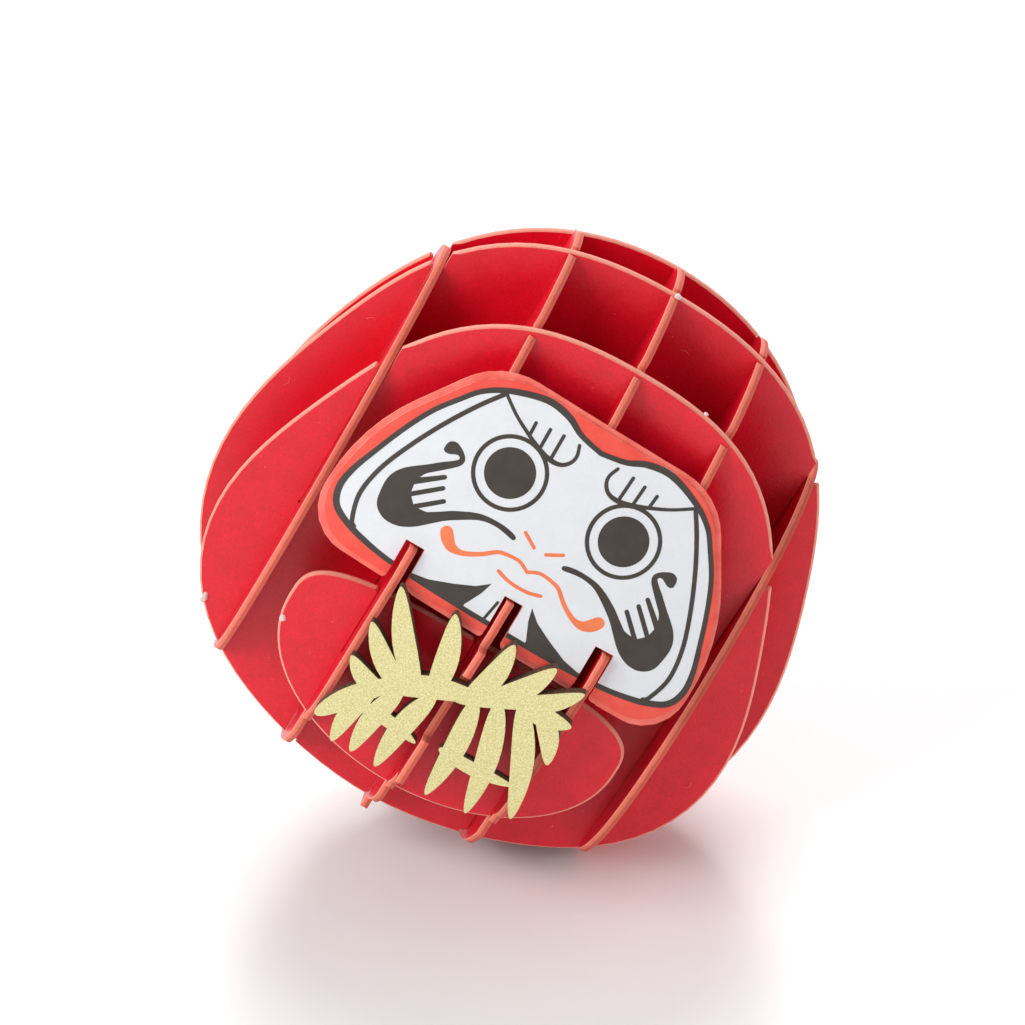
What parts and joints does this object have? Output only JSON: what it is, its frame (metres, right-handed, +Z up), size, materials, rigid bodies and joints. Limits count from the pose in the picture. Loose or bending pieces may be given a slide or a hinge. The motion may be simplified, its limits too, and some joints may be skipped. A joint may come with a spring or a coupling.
{
  "type": "slotted board daruma doll",
  "caption": "Round daruma doll made of slotted red boards that cross in a grid, with a printed face card and a gilded openwork leaf ornament on its front.",
  "frame": {"origin": "middle of the doll's width and depth, at the level of the feet", "axes": "+X to the viewer's right when the face is seen from the front, -Y out of the face, +Z up"},
  "size_m": [0.0754, 0.0604, 0.0757],
  "materials": {
    "red_board": "matte",
    "coral_board": "matte",
    "printed_card": "matte",
    "burnt_board": "matte",
    "gold_foil": "satin"
  },
  "bodies": {
    "root": {"rib_left_outer": "red_board", "rib_left_inner": "red_board", "rib_centre": "red_board", "rib_right_inner": "red_board", "rib_right_outer": "red_board", "panel_belly": "red_board", "panel_front": "red_board", "panel_middle": "red_board", "panel_rear": "red_board", "panel_back": "red_board", "face_backing": "coral_board", "face_card": "printed_card", "ornament_board": "burnt_board", "ornament_foil": "gold_foil"}
  },
  "joints": []
}
